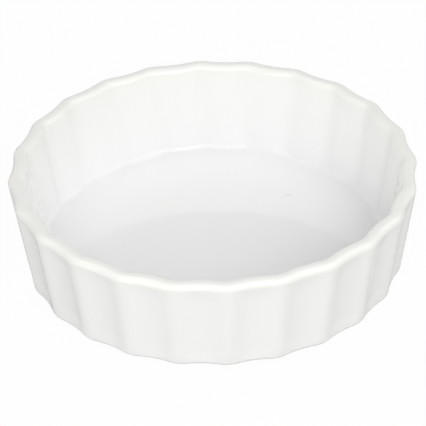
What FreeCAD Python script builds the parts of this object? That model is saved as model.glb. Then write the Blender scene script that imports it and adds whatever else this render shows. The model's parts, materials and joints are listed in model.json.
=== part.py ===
import FreeCAD, Part
import math
import os

import Sketcher
from FreeCAD import Placement, Rotation, Vector

# A small round baking dish of white porcelain with a fluted, flared wall.
# The frame has +Z up, and its origin is on the table, under the middle of the dish.
# Crests of the flutes lie at equal steps of angle, and the first one lies on +X.

# Driving sizes: name, value in millimetres (or a count), meaning
SIZES = (
    ("flute_count", 24, "flutes round the wall"),
    ("flute_depth", 1.0, "from a crest in to a valley, on both sides of the wall"),
    ("rim_diameter", 120.7, "across opposite crests at the top of the wall, before its rounding"),
    ("base_diameter", 111.0, "across opposite crests at the bottom of the wall, before its rounding"),
    ("dish_height", 32.2, "from the table to the top of the rim"),
    ("rim_width", 4.45, "thickness of the wall at the rim"),
    ("rim_flat", 0.7, "flat left on the rim between its two roundings"),
    ("base_wall", 4.2, "from the bottom edge of the wall in to the edge of the floor"),
    ("floor_thickness", 3.8, "glazed floor above the recess"),
    ("floor_round", 2.8, "hollow rounding where the wall meets the floor"),
    ("base_round", 2.0, "rounding under the bottom edge of the wall"),
    ("foot_height", 1.0, "foot ring below the glazed underside"),
    ("foot_width", 3.5, "foot ring across its section"),
    ("foot_inset", 5.2, "from the bottom edge of the wall in to the foot ring"),
    ("foot_round", 0.4, "rounding on the two edges of the foot ring"),
    ("glaze", 0.3, "thickness of the glaze"),
)

LEVEL_TOLERANCE = 1e-4

doc = FreeCAD.newDocument("fluted_dish")
sheet = doc.addObject("Spreadsheet::Sheet", "sizes")
for row, (alias, value, meaning) in enumerate(SIZES, start=1):
    sheet.set(f"A{row}", alias)
    sheet.set(f"B{row}", str(value))
    sheet.set(f"C{row}", meaning)
    sheet.setAlias(f"B{row}", alias)
doc.recompute()

# Places that more than one piece uses, as expressions on the sheet
FOOT_OUTER_RADIUS = "sizes.base_diameter / 2 - sizes.foot_inset"
FOOT_INNER_RADIUS = f"{FOOT_OUTER_RADIUS} - sizes.foot_width"
CLAY_UNDERSIDE = "sizes.foot_height + sizes.glaze"


def number(expression):
    """The present value of an expression on the sheet."""
    return float(sheet.evalExpression(expression))


def polar(radius, angle):
    return Vector(radius * math.cos(angle), radius * math.sin(angle), 0)


def new_sketch(body, name, level):
    """An empty sketch of the body, level with its XY plane and raised to the given height."""
    sketch = body.newObject("Sketcher::SketchObject", name)
    plane = next(item for item in body.Origin.OriginFeatures if item.Role == "XY_Plane")
    sketch.AttachmentSupport = [(plane, "")]
    sketch.MapMode = "FlatFace"
    sketch.setExpression("AttachmentOffset.Base.z", level)
    return sketch


def bind(sketch, constraint, name, expression):
    """Adds a driving constraint and ties it to the sheet."""
    index = sketch.addConstraint(constraint)
    sketch.renameConstraint(index, name)
    sketch.setExpression(f"Constraints.{name}", expression)


def add_circle(sketch, name, radius, construction=False):
    """A circle about the dish's axis."""
    circle = sketch.addGeometry(Part.Circle(Vector(), Vector(0, 0, 1), number(radius)), construction)
    sketch.addConstraint(Sketcher.Constraint("Coincident", circle, 3, -1, 1))
    bind(sketch, Sketcher.Constraint("Radius", circle, number(radius)), name, radius)
    return circle


def fluted_outline(body, name, level, crest):
    """A closed wave of tangent arcs: each crest bulges outwards, each valley inwards.

    A crest arc turns into a valley arc midway in angle, where the radius is the geometric mean
    of the crest and valley radii: that makes the two arcs tangent.
    """
    valley = f"({crest}) - sizes.flute_depth"
    count = int(number("sizes.flute_count"))
    step = math.pi / count
    crest_radius = number(crest)
    valley_radius = number(valley)
    swing_radius = math.sqrt(crest_radius * valley_radius)

    sketch = new_sketch(body, name, level)
    arcs = []
    for flute in range(count):
        middle = 2 * step * flute
        before, after, beyond = (polar(swing_radius, middle + turn * step / 2) for turn in (-1, 1, 3))
        arcs.append(Part.Arc(before, polar(crest_radius, middle), after))
        arcs.append(Part.Arc(after, polar(valley_radius, middle + step), beyond))
    sketch.addGeometry(arcs, False)

    crest_circle = add_circle(sketch, "crest_radius", crest, construction=True)
    valley_circle = add_circle(sketch, "valley_radius", valley, construction=True)
    swing_ray = sketch.addGeometry(Part.LineSegment(Vector(), polar(swing_radius, step / 2)), True)

    rules = [
        Sketcher.Constraint("Coincident", swing_ray, 1, -1, 1),
        Sketcher.Constraint("Coincident", swing_ray, 2, 0, 2),
        Sketcher.Constraint("PointOnObject", 0, 3, -1),
    ]
    for crest_arc in range(0, 2 * count, 2):
        valley_arc = crest_arc + 1
        next_crest = (crest_arc + 2) % (2 * count)
        rules.append(Sketcher.Constraint("Tangent", crest_arc, 2, valley_arc, 2))
        rules.append(Sketcher.Constraint("Tangent", valley_arc, 1, next_crest, 1))
        rules.append(Sketcher.Constraint("Tangent", crest_arc, crest_circle))
        rules.append(Sketcher.Constraint("Tangent", valley_arc, valley_circle))
        if crest_arc > 0:
            rules.append(Sketcher.Constraint("Equal", 0, crest_arc))
            rules.append(Sketcher.Constraint("Equal", 1, valley_arc))
    sketch.addConstraint(rules)
    swing = Sketcher.Constraint("Angle", -1, 1, swing_ray, 1, step / 2)
    bind(sketch, swing, "swing_angle", "90 deg / sizes.flute_count")
    return sketch


def loft(body, kind, name, lower, upper):
    feature = body.newObject(f"PartDesign::{kind}", name)
    feature.Profile = lower
    feature.Sections = [upper]
    feature.Ruled = True
    doc.recompute()
    return feature


def round_edges(body, name, feature, level, radius):
    """Rounds every edge of the feature that lies at the given height."""
    height = number(level)
    edges = []
    for index, edge in enumerate(feature.Shape.Edges, start=1):
        if all(abs(vertex.Z - height) < LEVEL_TOLERANCE for vertex in edge.Vertexes):
            edges.append(f"Edge{index}")
    fillet = body.newObject("PartDesign::Fillet", name)
    fillet.Base = (feature, edges)
    fillet.setExpression("Radius", radius)
    doc.recompute()
    return fillet


def pad(body, sketch, name, length):
    feature = body.newObject("PartDesign::Pad", name)
    feature.Profile = sketch
    feature.setExpression("Length", length)
    doc.recompute()
    return feature


def fluted_form(name, inset):
    """The dish without its foot ring, with every surface set in by the inset."""
    base_level = f"sizes.foot_height + {inset}"
    floor_level = f"sizes.foot_height + sizes.floor_thickness - {inset}"
    rim_level = f"sizes.dish_height - {inset}"

    body = doc.addObject("PartDesign::Body", name)
    outer_base = fluted_outline(body, f"{name}_outer_base", base_level, f"sizes.base_diameter / 2 - {inset}")
    outer_rim = fluted_outline(body, f"{name}_outer_rim", rim_level, f"sizes.rim_diameter / 2 - {inset}")
    inner_base = fluted_outline(
        body, f"{name}_inner_base", floor_level, f"sizes.base_diameter / 2 - sizes.base_wall + {inset}"
    )
    inner_rim = fluted_outline(
        body, f"{name}_inner_rim", rim_level, f"sizes.rim_diameter / 2 - sizes.rim_width + {inset}"
    )
    doc.recompute()

    block = loft(body, "AdditiveLoft", f"{name}_block", outer_base, outer_rim)
    hollow = loft(body, "SubtractiveLoft", f"{name}_hollow", inner_base, inner_rim)
    if hollow.Shape.Volume >= block.Shape.Volume:
        raise RuntimeError(f"{name}: the hollow of the dish was not cut")

    rim_radius = f"(sizes.rim_width - sizes.rim_flat) / 2 - {inset}"
    rim = round_edges(body, f"{name}_rim", hollow, rim_level, rim_radius)
    floor = round_edges(body, f"{name}_floor", rim, floor_level, f"sizes.floor_round + {inset}")
    base = round_edges(body, f"{name}_base", floor, base_level, f"sizes.base_round - {inset}")
    return body, base


# Clay body: the fluted form under the glaze, and the bare foot ring that it stands on
clay, clay_form = fluted_form("porcelain_body", "sizes.glaze")
foot_sketch = new_sketch(clay, "foot_outline", "0")
add_circle(foot_sketch, "foot_outer_radius", FOOT_OUTER_RADIUS)
add_circle(foot_sketch, "foot_inner_radius", FOOT_INNER_RADIUS)
foot_ring = pad(clay, foot_sketch, "foot_ring", CLAY_UNDERSIDE)
clay.Tip = round_edges(clay, "foot_edges", foot_ring, "0", "sizes.foot_round")

# Main coat of glaze: from the glazed surface in to the clay, open underneath for the foot ring.
# The clay form lies wholly inside the glazed form, so its skin, turned round, is the coat's inner face.
glazed, glazed_form = fluted_form("glazed_form", "0")
outer_skin = glazed_form.Shape.Shells[0]
inner_skin = clay_form.Shape.Shells[0].reversed()
closed_coat = doc.addObject("Part::Feature", "closed_coat")
closed_coat.Shape = Part.makeSolid(Part.Compound([outer_skin, inner_skin]))
foot_opening = doc.addObject("Part::Cylinder", "foot_opening")
foot_opening.setExpression("Radius", FOOT_OUTER_RADIUS)
foot_opening.setExpression("Height", CLAY_UNDERSIDE)
coat = doc.addObject("Part::Cut", "glaze_coat")
coat.Base = closed_coat
coat.Tool = foot_opening

# Patch of glaze inside the foot ring, which parts it from the main coat
recess = doc.addObject("PartDesign::Body", "recess_glaze")
recess_sketch = new_sketch(recess, "recess_outline", "sizes.foot_height")
add_circle(recess_sketch, "recess_radius", FOOT_INNER_RADIUS)
recess.Tip = pad(recess, recess_sketch, "recess_patch", "sizes.glaze")

pieces = (clay, coat, recess)
for piece in pieces:
    piece.Label = piece.Name
    piece.Placement = Placement(Vector(0, 0, 0), Rotation())
doc.recompute()

for item in doc.Objects:
    if "Invalid" in item.State or "Error" in item.State:
        raise RuntimeError(f"{item.Name} failed to build: {item.State}")
for piece in pieces:
    if piece.Shape.isNull() or not piece.Shape.isValid():
        raise RuntimeError(f"{piece.Label} has no valid shape")
    if len(piece.Shape.Solids) != 1:
        raise RuntimeError(f"{piece.Label} is not one solid")

os.makedirs("parts", exist_ok=True)
for piece in pieces:
    piece.Shape.exportStep(f"parts/{piece.Label}.step")
    box = piece.Shape.BoundBox
    print(
        f"{piece.Label}: {piece.Shape.Volume:.0f} mm3,"
        f" {box.XLength:.2f} x {box.YLength:.2f} x {box.ZLength:.2f} mm, from z = {box.ZMin:.2f}"
    )
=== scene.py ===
# %% [markdown]
# # A fluted quiche dish of glazed porcelain
# The real dish is one fired porcelain body under a glassy coat, so the scene has three pieces: the
# clay body, the main coat and the patch of glaze inside the foot ring. The packed model is loaded
# first, because it fixes where every piece goes and how large it is.

# %% The packed dish
import json
import math
from collections import namedtuple

import bmesh
import bpy
from mathutils import Matrix, Vector


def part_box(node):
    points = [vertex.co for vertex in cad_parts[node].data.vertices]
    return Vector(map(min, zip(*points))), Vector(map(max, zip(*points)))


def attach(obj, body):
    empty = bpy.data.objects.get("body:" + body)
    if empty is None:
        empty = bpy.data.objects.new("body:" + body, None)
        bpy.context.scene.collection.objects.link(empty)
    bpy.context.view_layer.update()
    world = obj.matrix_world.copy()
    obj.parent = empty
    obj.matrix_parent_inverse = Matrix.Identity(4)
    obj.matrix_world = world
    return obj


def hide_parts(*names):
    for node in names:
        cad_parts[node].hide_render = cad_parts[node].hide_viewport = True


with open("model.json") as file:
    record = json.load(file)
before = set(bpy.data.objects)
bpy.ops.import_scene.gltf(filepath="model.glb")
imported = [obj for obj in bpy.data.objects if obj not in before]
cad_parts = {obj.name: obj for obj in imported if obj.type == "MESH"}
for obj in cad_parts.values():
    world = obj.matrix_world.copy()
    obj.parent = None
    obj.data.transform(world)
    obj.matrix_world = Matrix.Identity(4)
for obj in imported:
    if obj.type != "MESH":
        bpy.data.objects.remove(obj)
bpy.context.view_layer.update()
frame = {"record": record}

MM = 0.001
coat_low, coat_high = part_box("glaze_coat")
patch_low, patch_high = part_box("recess_glaze")
mounts = {mount["name"]: mount["pos_m"] for mount in frame["record"]["mounts"]}
print(f"packed dish: {2 * coat_high.x / MM:.2f} mm across, {coat_high.z / MM:.2f} mm high")

# %% [markdown]
# ## The camera
# The dish is seen from the front, about 35 degrees down, through a long lens: the far rim looks
# almost as wide as the near one. The picture is also tilted by a little over one degree, so the
# camera is rolled about its own line of sight. A Track To constraint would aim it but not roll it,
# so its axes are worked out here. It aims at about the middle of the dish's height, moved by less
# than a millimetre so that the dish sits in the frame as it does in the photograph.

# %% Camera
CAMERA_AZIMUTH = math.radians(-3.27)
CAMERA_ELEVATION = math.radians(34.84)
CAMERA_ROLL = math.radians(-1.37)
CAMERA_DISTANCE = 905.4 * MM
CAMERA_FIELD = math.radians(7.956)
NEAREST_SEEN = 50 * MM
AIM_HEIGHT = 16.6 * MM
AIM_RIGHT = -0.24 * MM
AIM_UP = -0.64 * MM


def add_camera():
    """A camera whose axes are worked out from its azimuth, elevation and roll."""
    level = Vector((math.sin(CAMERA_AZIMUTH), -math.cos(CAMERA_AZIMUTH), 0))
    back = level * math.cos(CAMERA_ELEVATION) + Vector((0, 0, math.sin(CAMERA_ELEVATION)))
    right = Vector((0, 0, 1)).cross(back).normalized()
    up = back.cross(right)
    rolled_right = right * math.cos(CAMERA_ROLL) + up * math.sin(CAMERA_ROLL)
    rolled_up = back.cross(rolled_right)
    aim = Vector((0, 0, AIM_HEIGHT)) + rolled_right * AIM_RIGHT + rolled_up * AIM_UP
    turn = Matrix((rolled_right, rolled_up, back)).transposed().to_4x4()
    lens = bpy.data.cameras.new("camera")
    lens.angle = CAMERA_FIELD
    lens.clip_start = NEAREST_SEEN
    camera = bpy.data.objects.new("camera", lens)
    camera.matrix_world = Matrix.Translation(aim + back * CAMERA_DISTANCE) @ turn
    bpy.context.scene.collection.objects.link(camera)
    bpy.context.scene.camera = camera
    return camera


camera = add_camera()
print(f"camera at {[round(c, 3) for c in camera.matrix_world.translation]}")

# %% [markdown]
# ## One profile, spun into a dish
# A potter's dish is a profile turned about an axis. It could be cut from a block, but a profile is
# closer to how it is made: a few corner points are joined, a vertex bevel rounds each corner, and a
# full spin makes the round dish. The heights, the foot ring and the thickness of the glaze are read
# from the packed model, and the other sizes are written once here, all in millimetres. The radii of
# the rim and the base are those of sharp corners, before they are rounded.

# %% Sizes of the dish
FLUTES = 24
FLUTE_DEPTH = 1.0
RIM_RADIUS = 60.34
RIM_WIDTH = 4.45
BASE_RADIUS = 55.5
BASE_WALL = 4.2
MOUTH_RADIUS = RIM_RADIUS - RIM_WIDTH
WELL_RADIUS = BASE_RADIUS - BASE_WALL
RIM_HEIGHT = coat_high.z / MM
FLOOR_HEIGHT = mounts["inside_floor"][2] / MM
UNDERSIDE = coat_low.z / MM
GLAZE = (patch_high.z - patch_low.z) / MM
FOOT_INNER = patch_high.x / MM
FOOT_OUTER = 2 * mounts["foot_ring"][0] / MM - FOOT_INNER
RIM_ROUND = 1.875
FLOOR_ROUND = 2.3
BASE_ROUND = 2.0
FOOT_ROUND = 0.4
print(f"foot ring from {FOOT_INNER:.2f} to {FOOT_OUTER:.2f} mm, glaze {GLAZE:.2f} mm thick")

# %% Rounding a corner of the profile
ROUND_STEPS = 10


def round_corner(bm, vert, radius):
    """Rounds one corner of a wire profile to the given radius."""
    first, second = (edge.other_vert(vert).co - vert.co for edge in vert.link_edges)
    reach = radius / math.tan(first.angle(second) / 2)
    bmesh.ops.bevel(
        bm, geom=[vert], offset=reach, offset_type="OFFSET", segments=ROUND_STEPS,
        profile=0.5, affect="VERTICES", material=-1,
    )


print(f"a rounding has {ROUND_STEPS} steps")

# %% The profile wire
LONGEST_RUN = 3.0
EVEN_POOLING = 0.5

# Radius, height and rounding are in millimetres. Flute is the corner's share of the wave, peak how
# much sharper the crests are than the valleys, and pooled how deep the glaze lies, from 0 to 1.
Corner = namedtuple("Corner", "radius height rounding flute peak pooled", defaults=(0, 0, 0, EVEN_POOLING))


def profile_wire(corners):
    """A bmesh that holds the rounded profile; each point keeps its corner's flute, peak and pooling."""
    bm = bmesh.new()
    layers = {name: bm.verts.layers.float.new(name) for name in ("flute", "peak", "pooled")}
    verts = []
    for corner in corners:
        vert = bm.verts.new((corner.radius * MM, 0, corner.height * MM))
        for name, layer in layers.items():
            vert[layer] = getattr(corner, name)
        verts.append(vert)
    for pair in zip(verts, verts[1:]):
        bm.edges.new(pair)
    for vert, corner in zip(verts, corners):
        if corner.rounding:
            round_corner(bm, vert, corner.rounding * MM)
    for edge in list(bm.edges):
        cuts = int(edge.calc_length() / (LONGEST_RUN * MM))
        if cuts:
            bmesh.ops.subdivide_edges(bm, edges=[edge], cuts=cuts)
    return bm


print(f"no straight run of a profile is longer than {LONGEST_RUN:.0f} mm")

# %% [markdown]
# ## The flutes
# On the real dish the mould presses the flutes into the soft wall. They could be modelled one by
# one, but all of them follow one wave round the dish, so each point of the spun skin is moved inwards
# by that wave of its angle. A corner of the profile says what share of the wave its points take, so
# the foot stays round, and how far the wave's crests are sharper than its valleys.

# %% Pressing the flutes in
VALLEY_POOLING = 0.1


def flute_wave(angle, peak):
    """0 on a crest and 1 in a valley. A peak above 0 makes the crests sharper than the valleys."""
    phase = FLUTES * angle
    return (1 - math.cos(phase + peak * math.sin(phase))) / 2


def press_flutes(bm):
    """Moves every point of the spun skin inwards by its share of the wave."""
    flute, peak, pooled = (bm.verts.layers.float[name] for name in ("flute", "peak", "pooled"))
    for vert in bm.verts:
        radius = math.hypot(vert.co.x, vert.co.y)
        if radius and vert[flute]:
            wave = vert[flute] * flute_wave(math.atan2(vert.co.y, vert.co.x), vert[peak])
            scale = 1 - wave * FLUTE_DEPTH * MM / radius
            vert.co.x *= scale
            vert.co.y *= scale
            vert[pooled] += VALLEY_POOLING * wave
    bm.verts.layers.float.remove(bm.verts.layers.float["flute"])
    bm.verts.layers.float.remove(bm.verts.layers.float["peak"])


print(f"{FLUTES} flutes, {FLUTE_DEPTH:.1f} mm deep at the rim")

# %% From profile to piece
COLUMNS_PER_FLUTE = 20
SAME_POINT = 0.001


def spun_piece(name, corners):
    """Spins a profile of corners, in millimetres, into a closed, fluted piece."""
    bm = profile_wire(corners)
    bmesh.ops.spin(
        bm, geom=bm.verts[:] + bm.edges[:], cent=(0, 0, 0), axis=(0, 0, 1), angle=2 * math.pi,
        steps=FLUTES * COLUMNS_PER_FLUTE, use_merge=True, use_duplicate=False,
    )
    bmesh.ops.remove_doubles(bm, verts=bm.verts[:], dist=SAME_POINT * MM)
    bmesh.ops.recalc_face_normals(bm, faces=bm.faces[:])
    press_flutes(bm)
    mesh = bpy.data.meshes.new(name)
    bm.to_mesh(mesh)
    bm.free()
    mesh.shade_smooth()
    piece = bpy.data.objects.new(name, mesh)
    bpy.context.scene.collection.objects.link(piece)
    print(f"{name}: {len(mesh.polygons)} faces")
    return piece


print(f"{FLUTES * COLUMNS_PER_FLUTE} columns of faces round a piece")

# %% [markdown]
# ## The skin that the coat and the clay share
# The coat is modelled with an even thickness, so the clay under it is the same profile set in by that
# thickness. One function gives both: the corners run from the middle of the floor, up the inside,
# over the rim and down the outside. The flutes of the wall are deeper on the outside than at the rim
# and the base, and a little shallower on the inside, so the profile has extra corners where the depth
# changes. On the real dish molten glaze creeps off the rim and gathers in the corner round the floor.
# That is too thin to model, so each corner only says how much is pooled there, for the finish to use.

# %% Corners of the skin
RIM_FLUTE = 1.0
OUTSIDE_FLUTE = 1.55
INSIDE_FLUTE = 0.8
OUTSIDE_PEAK = 0.3
INSIDE_PEAK = 0.35
FLUTE_FADE = 4.0
FLOOR_POOLING = 0.9
WELL_POOLING = 1.0
INSIDE_POOLING = 0.3
# With no pooling the rim takes the thin glaze's colour, whose darkness there is painted shade
RIM_POOLING = 0.0
SHOULDER_POOLING = 0.35
OUTSIDE_POOLING = 0.4


def outside_radius(height):
    """Radius of the outside of the wall, on the crests, at a height."""
    share = (height - UNDERSIDE) / (RIM_HEIGHT - UNDERSIDE)
    return BASE_RADIUS + share * (RIM_RADIUS - BASE_RADIUS)


def inside_radius(height):
    """Radius of the inside of the wall, on the crests, at a height."""
    share = (height - FLOOR_HEIGHT) / (RIM_HEIGHT - FLOOR_HEIGHT)
    return WELL_RADIUS + share * (MOUTH_RADIUS - WELL_RADIUS)


def skin(inset):
    """Corners of the dish's skin, set in from the glazed surface."""
    inside = dict(flute=RIM_FLUTE, peak=INSIDE_PEAK)
    inside_wall = dict(flute=INSIDE_FLUTE, peak=INSIDE_PEAK)
    outside = dict(flute=RIM_FLUTE, peak=OUTSIDE_PEAK)
    outside_wall = dict(flute=OUTSIDE_FLUTE, peak=OUTSIDE_PEAK)
    floor = FLOOR_HEIGHT - inset
    rim = RIM_HEIGHT - inset
    base = UNDERSIDE + inset
    wall_top = RIM_HEIGHT - FLUTE_FADE
    wall_bottom = UNDERSIDE + FLUTE_FADE
    return [
        Corner(0, floor, peak=INSIDE_PEAK, pooled=FLOOR_POOLING),
        Corner(WELL_RADIUS + inset, floor, FLOOR_ROUND + inset, pooled=WELL_POOLING, **inside_wall),
        Corner(inside_radius(wall_top) + inset, wall_top, pooled=INSIDE_POOLING, **inside_wall),
        Corner(MOUTH_RADIUS + inset, rim, RIM_ROUND - inset, pooled=RIM_POOLING, **inside),
        Corner(RIM_RADIUS - inset, rim, RIM_ROUND - inset, pooled=RIM_POOLING, **outside),
        Corner(outside_radius(wall_top) - inset, wall_top, pooled=SHOULDER_POOLING, **outside_wall),
        Corner(outside_radius(wall_bottom) - inset, wall_bottom, pooled=OUTSIDE_POOLING, **outside_wall),
        Corner(BASE_RADIUS - inset, base, BASE_ROUND - inset, pooled=OUTSIDE_POOLING, **outside),
    ]


print(f"{len(skin(0))} corners in the skin")

# %% [markdown]
# ## The clay body
# The body is pressed in one piece with the foot ring that it stands on. The ring could be a separate
# tube, but it is the same clay, so its corners carry on from the skin's and both are spun at once.

# %% The clay body and its foot ring
foot = [
    Corner(FOOT_OUTER, UNDERSIDE + GLAZE),
    Corner(FOOT_OUTER, 0, FOOT_ROUND),
    Corner(FOOT_INNER, 0, FOOT_ROUND),
    Corner(FOOT_INNER, UNDERSIDE + GLAZE),
    Corner(0, UNDERSIDE + GLAZE),
]
clay_body = spun_piece("clay_body", skin(GLAZE) + foot)

# %% [markdown]
# ## The main coat
# The coat covers everything down to the foot ring. A Solidify modifier could thicken one sheet, but
# here the skin is known on both sides of the glaze, so the profile runs along the outer face, round
# the small lip where the glaze was wiped off, and back along the clay.

# %% The main coat
coat_edge = [
    Corner(FOOT_OUTER, UNDERSIDE, GLAZE / 2),
    Corner(FOOT_OUTER, UNDERSIDE + GLAZE),
]
glaze = spun_piece("glaze", skin(0) + coat_edge + list(reversed(skin(GLAZE))))

# %% [markdown]
# ## The patch under the floor
# The recess inside the foot ring is glazed too. The bare ring parts this patch from the main coat, so
# it is a thin disc of its own. A flat cylinder would almost do, but a spun profile also rounds the
# edge where the glaze stops.

# %% The patch inside the foot ring
patch = [
    Corner(0, UNDERSIDE + GLAZE),
    Corner(FOOT_INNER, UNDERSIDE + GLAZE),
    Corner(FOOT_INNER, UNDERSIDE, GLAZE / 2),
    Corner(0, UNDERSIDE),
]
base_patch = spun_piece("base_patch", patch)


# %% [markdown]
# ## Shader maths in plain Python
# A finish is a small calculation for each point of the surface. Wiring Math nodes by hand hides the
# sums, so a wire here is a Python object: adding or multiplying two wires adds the Math node, and
# every other node comes from one method that sets it up and links it.

# %% Wires
class Wire:
    """A socket that gives a value. Arithmetic on wires adds Math nodes to their tree."""

    def __init__(self, socket):
        self.socket = socket

    @classmethod
    def node(cls, tree, kind, settings=None, sockets=None, output=0):
        """Adds a node: its settings first, then a value or a wire for each socket that is named."""
        made = tree.nodes.new(kind)
        for name, value in (settings or {}).items():
            setattr(made, name, value)
        for name, value in (sockets or {}).items():
            if isinstance(value, Wire):
                tree.links.new(value.socket, made.inputs[name])
            else:
                made.inputs[name].default_value = value
        return cls(made.outputs[output])

    def calculate(self, operation, first, second):
        """Adds a Math node that works on two wires or numbers."""
        tree = self.socket.id_data
        return Wire.node(tree, "ShaderNodeMath", {"operation": operation}, {0: first, 1: second})

    def __add__(self, other):
        return self.calculate("ADD", self, other)

    def __radd__(self, other):
        return self.calculate("ADD", other, self)

    def __sub__(self, other):
        return self.calculate("SUBTRACT", self, other)

    def __rsub__(self, other):
        return self.calculate("SUBTRACT", other, self)

    def __mul__(self, other):
        return self.calculate("MULTIPLY", self, other)

    def __rmul__(self, other):
        return self.calculate("MULTIPLY", other, self)


print(f"wire: {Wire.__doc__}")


# %% Starting a finish
def new_finish(name):
    """A fresh material with its tree, its shader and the piece's own coordinates."""
    material = bpy.data.materials.new(name)
    material.use_nodes = True
    tree = material.node_tree
    shader = tree.nodes["Principled BSDF"]
    place = Wire.node(tree, "ShaderNodeTexCoord", output="Object")
    return material, tree, shader, place


def feed(node, socket, wire):
    """Links a wire to a socket of a node."""
    wire.socket.id_data.links.new(wire.socket, node.inputs[socket])


for helper in (new_finish, feed):
    print(f"{helper.__name__}: {helper.__doc__}")


# %% Noise and bumps
def noise(tree, place, size, detail):
    """Soft noise from 0 to 1 whose blotches are about the given size, in millimetres."""
    sockets = {"Vector": place, "Scale": 1 / (size * MM), "Detail": detail}
    return Wire.node(tree, "ShaderNodeTexNoise", sockets=sockets)


def bump(tree, height):
    """A bump from a height in metres."""
    return Wire.node(tree, "ShaderNodeBump", sockets={"Height": height, "Strength": 1.0, "Distance": 1.0})


for helper in (noise, bump):
    print(f"{helper.__name__}: {helper.__doc__}")

# %% Mixing and fading
MIX_COLOURS = {"data_type": "RGBA", "clamp_factor": True}
# Numbers of the Mix node's sockets when it mixes colours
MIX_FACTOR, MIX_FIRST, MIX_SECOND, MIXED_COLOUR = 0, 6, 7, 2


def mix_colours(tree, share, first, second):
    """The first colour, turning into the second as the share goes from 0 to 1."""
    sockets = {MIX_FACTOR: share, MIX_FIRST: first, MIX_SECOND: second}
    return Wire.node(tree, "ShaderNodeMix", MIX_COLOURS, sockets, MIXED_COLOUR)


def fade(tree, value, start, end):
    """1 where the value is at the start or before, easing to 0 at the end."""
    sockets = {"Value": value, "From Min": start, "From Max": end, "To Min": 1.0, "To Max": 0.0}
    return Wire.node(tree, "ShaderNodeMapRange", {"interpolation_type": "SMOOTHSTEP"}, sockets)


for helper in (mix_colours, fade):
    print(f"{helper.__name__}: {helper.__doc__}")

# %% [markdown]
# ## The glaze
# Clear glaze over white clay is almost white and very smooth. Where it is thin, on the rim and the
# crests, a little warm clay shows through and the shine is softer. The colour there is also a little
# darker as painted shade, which tones down the bright highlight on the rim. Where it pools it looks
# cooler and glassier. The meshes carry that pooling as an attribute, which a painted mask could do
# as well, but not as evenly. The glaze's face swells gently, which makes reflections waver, and it
# has a few tiny iron specks. One larger speck lies on the floor to the right of the middle.

# %% Specks in the glaze
SPECK_PLACE = (24.2 * MM, 23.0 * MM, FLOOR_HEIGHT * MM)
SPECK_RADII = (1.5 * MM, 1.1 * MM, 1.0 * MM)
SPECK_SHARE = 0.22
DOT_SPACING = 7.0
DOT_RADIUS = 0.2
DOT_SHARE = 0.35


def vector_maths(tree, operation, *vectors, output="Vector"):
    """A Vector Math node on one or two vectors."""
    return Wire.node(tree, "ShaderNodeVectorMath", {"operation": operation}, dict(enumerate(vectors)), output)


def specks(tree, place):
    """Where the glaze is specked: the one larger speck, and the tiny dots scattered everywhere."""
    from_speck = vector_maths(tree, "SUBTRACT", place, SPECK_PLACE)
    in_speck_radii = vector_maths(tree, "DIVIDE", from_speck, SPECK_RADII)
    outwards = vector_maths(tree, "LENGTH", in_speck_radii, output="Value")
    sockets = {"Vector": place, "Scale": 1 / (DOT_SPACING * MM)}
    from_dot = Wire.node(tree, "ShaderNodeTexVoronoi", sockets=sockets, output="Distance")
    dots = DOT_SHARE * fade(tree, from_dot, 0.0, DOT_RADIUS / DOT_SPACING)
    return SPECK_SHARE * fade(tree, outwards, 0.0, 1.0) + dots


print(f"dots about {DOT_SPACING:.0f} mm apart in space, at most {2 * DOT_RADIUS:.1f} mm wide on the glaze")

# %% Glaze finish
# Thin glaze: warm where the clay shows through, and darker as painted shade that tones down the rim's
# highlight
THIN_GLAZE_AND_RIM_SHADE = (0.857, 0.853, 0.824, 1)
DEEP_GLAZE = (0.882, 0.883, 0.884, 1)
SPECK_COLOUR = (0.45, 0.42, 0.38, 1)
NOISE_MIDDLE = 0.5
CLOUD_SIZE = 14.0
CLOUD_DETAIL = 2.0
CLOUD_SHARE = 0.25
THIN_END = 0.3
POOLED_ROUGHNESS = 0.03
THIN_ROUGHNESS = 0.18
ROUGHNESS_SWING = 0.03
SHINE_DETAIL = 4.0
SWELL_SIZE = 9.0
SWELL_DETAIL = 0.0
SWELL_HEIGHT = 0.018 * MM
PEEL_SIZE = 1.2
PEEL_DETAIL = 1.0
PEEL_HEIGHT = 0.0015 * MM
GLAZE_IOR = 1.5


def glaze_finish():
    """White glaze that follows the pooling of its mesh."""
    material, tree, shader, place = new_finish("white_glaze")
    pooled = Wire.node(tree, "ShaderNodeAttribute", {"attribute_name": "pooled"}, output="Fac")
    depth = pooled + CLOUD_SHARE * (noise(tree, place, CLOUD_SIZE, CLOUD_DETAIL) - NOISE_MIDDLE)
    # Thin glaze, with its painted shade on the rim, turns into deep glaze as the pooling grows
    colour = mix_colours(tree, depth, THIN_GLAZE_AND_RIM_SHADE, DEEP_GLAZE)
    feed(shader, "Base Color", mix_colours(tree, specks(tree, place), colour, SPECK_COLOUR))

    thinness = fade(tree, depth, 0.0, THIN_END)
    uneven = POOLED_ROUGHNESS + ROUGHNESS_SWING * noise(tree, place, SWELL_SIZE, SHINE_DETAIL)
    feed(shader, "Roughness", uneven + THIN_ROUGHNESS * thinness)
    swell = SWELL_HEIGHT * noise(tree, place, SWELL_SIZE, SWELL_DETAIL)
    peel = PEEL_HEIGHT * noise(tree, place, PEEL_SIZE, PEEL_DETAIL)
    feed(shader, "Normal", bump(tree, swell + peel))
    shader.inputs["IOR"].default_value = GLAZE_IOR
    return material


white_glaze = glaze_finish()
print(f"{white_glaze.name}: {len(white_glaze.node_tree.nodes)} nodes")

# %% [markdown]
# ## The bare foot
# The foot ring is wiped clean of glaze so that the dish doesn't stick to the kiln shelf, and then
# rubbed smooth. Fired clay without glaze is matte, a little warmer than the glaze and finely
# grained, with grey rubs where it has stood on things. A painted texture could show that too, but
# noise of three sizes gives the blotches, the rubs and the grain without a seam.

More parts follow.
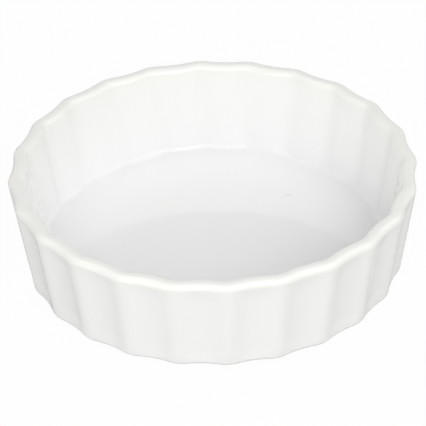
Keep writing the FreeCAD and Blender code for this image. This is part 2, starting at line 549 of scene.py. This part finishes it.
# %% Bare clay finish
CLAY_COLOUR = (0.8, 0.78, 0.74, 1)
CLAY_SHADE = (0.72, 0.69, 0.64, 1)
RUB_COLOUR = (0.55, 0.54, 0.52, 1)
BLOTCH_SIZE = 5.0
BLOTCH_DETAIL = 3.0
RUB_SIZE = 2.2
RUB_DETAIL = 4.0
RUB_START, RUB_END = 0.3, 0.45
RUB_SHARE = 0.4
GRAIN_SIZE = 0.3
GRAIN_DETAIL = 3.0
GRAIN_HEIGHT = 0.03 * MM
CLAY_ROUGHNESS = 0.65
GRAIN_ROUGHNESS = 0.25


def clay_finish():
    """Matte, finely grained clay with rubs."""
    material, tree, shader, place = new_finish("bare_clay")
    grain = noise(tree, place, GRAIN_SIZE, GRAIN_DETAIL)
    colour = mix_colours(tree, noise(tree, place, BLOTCH_SIZE, BLOTCH_DETAIL), CLAY_SHADE, CLAY_COLOUR)
    rubs = RUB_SHARE * fade(tree, noise(tree, place, RUB_SIZE, RUB_DETAIL), RUB_START, RUB_END)
    feed(shader, "Base Color", mix_colours(tree, rubs, colour, RUB_COLOUR))
    feed(shader, "Roughness", CLAY_ROUGHNESS + GRAIN_ROUGHNESS * grain)
    feed(shader, "Normal", bump(tree, GRAIN_HEIGHT * grain))
    return material


bare_clay = clay_finish()
print(f"{bare_clay.name}: {len(bare_clay.node_tree.nodes)} nodes")

# %% [markdown]
# ## Each piece takes its place
# A piece rides on the one body that the dish has, stands for the packed solid of the same form, and
# names the material slot of the record that its finish belongs to.

# %% Pieces, nodes and slots
for piece, node, finish, slot in (
    (clay_body, "porcelain_body", bare_clay, "porcelain"),
    (glaze, "glaze_coat", white_glaze, "glaze"),
    (base_patch, "recess_glaze", white_glaze, "glaze"),
):
    piece.data.materials.append(finish)
    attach(piece, "root")
    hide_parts(node)
    print(f"{piece.name} stands for {node}")

# %% [markdown]
# ## The table
# The dish stands on a plain pale table. To the camera the table is almost all an even white, with a
# small share of a matte surface, so that the dish keeps a faint shadow. More light would turn it
# white as well, but it would bleach the dish. Reflections in the glaze show mostly the matte surface,
# and only that surface throws light back on to the wall.

# %% Table
TABLE_HALF_WIDTH = 2.0
TABLE_COLOUR = (0.68, 0.68, 0.68, 1)
SEEN_WHITE = 0.97
REFLECTED_WHITE = 0.15


def table_finish():
    """A matte surface that is mostly an even white to the camera."""
    material = bpy.data.materials.new("white_table")
    material.use_nodes = True
    tree = material.node_tree
    tree.nodes.remove(tree.nodes["Principled BSDF"])
    camera_ray, glossy_ray, clear_ray = (
        Wire.node(tree, "ShaderNodeLightPath", output=ray)
        for ray in ("Is Camera Ray", "Is Glossy Ray", "Is Transmission Ray")
    )
    white_share = SEEN_WHITE * camera_ray + REFLECTED_WHITE * (glossy_ray + clear_ray)
    matte = Wire.node(tree, "ShaderNodeBsdfDiffuse", sockets={"Color": TABLE_COLOUR})
    white = Wire.node(tree, "ShaderNodeEmission", sockets={"Strength": 1.0})
    mixed = Wire.node(tree, "ShaderNodeMixShader", sockets={0: white_share, 1: matte, 2: white})
    feed(tree.nodes["Material Output"], "Surface", mixed)
    return material


def add_table():
    """A flat square under the dish, which is not part of it."""
    bm = bmesh.new()
    bmesh.ops.create_grid(bm, x_segments=1, y_segments=1, size=TABLE_HALF_WIDTH)
    mesh = bpy.data.meshes.new("table")
    bm.to_mesh(mesh)
    bm.free()
    mesh.materials.append(table_finish())
    table = bpy.data.objects.new("table", mesh)
    bpy.context.scene.collection.objects.link(table)
    return table


table = add_table()
print(f"table {2 * TABLE_HALF_WIDTH:.0f} m across")

# %% [markdown]
# ## The light
# A white dish is told from its ground only by soft shading. One even dome would flatten the flutes,
# so large softboxes stand round the dish: the brightest in front and low on the left, weaker ones to
# the sides, and a dim card behind. The dim room above that card shows as the darker part of the
# glossy floor. Each lamp is given the brightness of its face, and its watts follow from that and its
# size.

# %% Softboxes
LAMP_DISTANCE = 1.2
LAMP_AIM_HEIGHT = 16 * MM
# Name, azimuth and elevation in degrees, width and height in metres, brightness of the face
SOFTBOXES = (
    ("front", 270, 35, 1.2, 0.8, 2.24),
    ("front_right", 315, 40, 0.75, 0.6, 1.68),
    ("low_left", 225, 13, 0.9, 0.42, 2.42),
    ("right_high", 5, 60, 0.75, 0.6, 1.0),
    ("right_low", 5, 30, 0.75, 0.5, 1.6),
    ("left_high", 170, 60, 0.75, 0.6, 1.0),
    ("left_low", 170, 30, 0.75, 0.5, 0.8),
    ("back_card", 90, 16, 2.4, 0.48, 0.5),
)


def add_softbox(name, azimuth, elevation, width, height, brightness):
    """A rectangular lamp that faces the dish from an azimuth, counted from +X, and an elevation."""
    around, above = math.radians(azimuth), math.radians(elevation)
    level = Vector((math.cos(around), math.sin(around), 0))
    towards = level * math.cos(above) + Vector((0, 0, math.sin(above)))
    lamp = bpy.data.lights.new(name, "AREA")
    lamp.shape = "RECTANGLE"
    lamp.size = width
    lamp.size_y = height
    lamp.energy = brightness * math.pi * width * height
    softbox = bpy.data.objects.new(name, lamp)
    facing = (-towards).to_track_quat("-Z", "Y").to_matrix().to_4x4()
    aim = Vector((0, 0, LAMP_AIM_HEIGHT))
    softbox.matrix_world = Matrix.Translation(aim + towards * LAMP_DISTANCE) @ facing
    bpy.context.scene.collection.objects.link(softbox)
    return softbox


for softbox in SOFTBOXES:
    add_softbox(*softbox)
print(f"{len(SOFTBOXES)} softboxes")

# %% The room
ROOM_COLOUR = (1, 1, 1, 1)
ROOM_STRENGTH = 0.34

room = bpy.data.worlds.new("room")
room.use_nodes = True
background = room.node_tree.nodes["Background"]
background.inputs["Color"].default_value = ROOM_COLOUR
background.inputs["Strength"].default_value = ROOM_STRENGTH
bpy.context.scene.world = room
bpy.context.scene.view_settings.view_transform = "Standard"
print(f"room at {ROOM_STRENGTH:.2f} of white")

# %% [markdown]
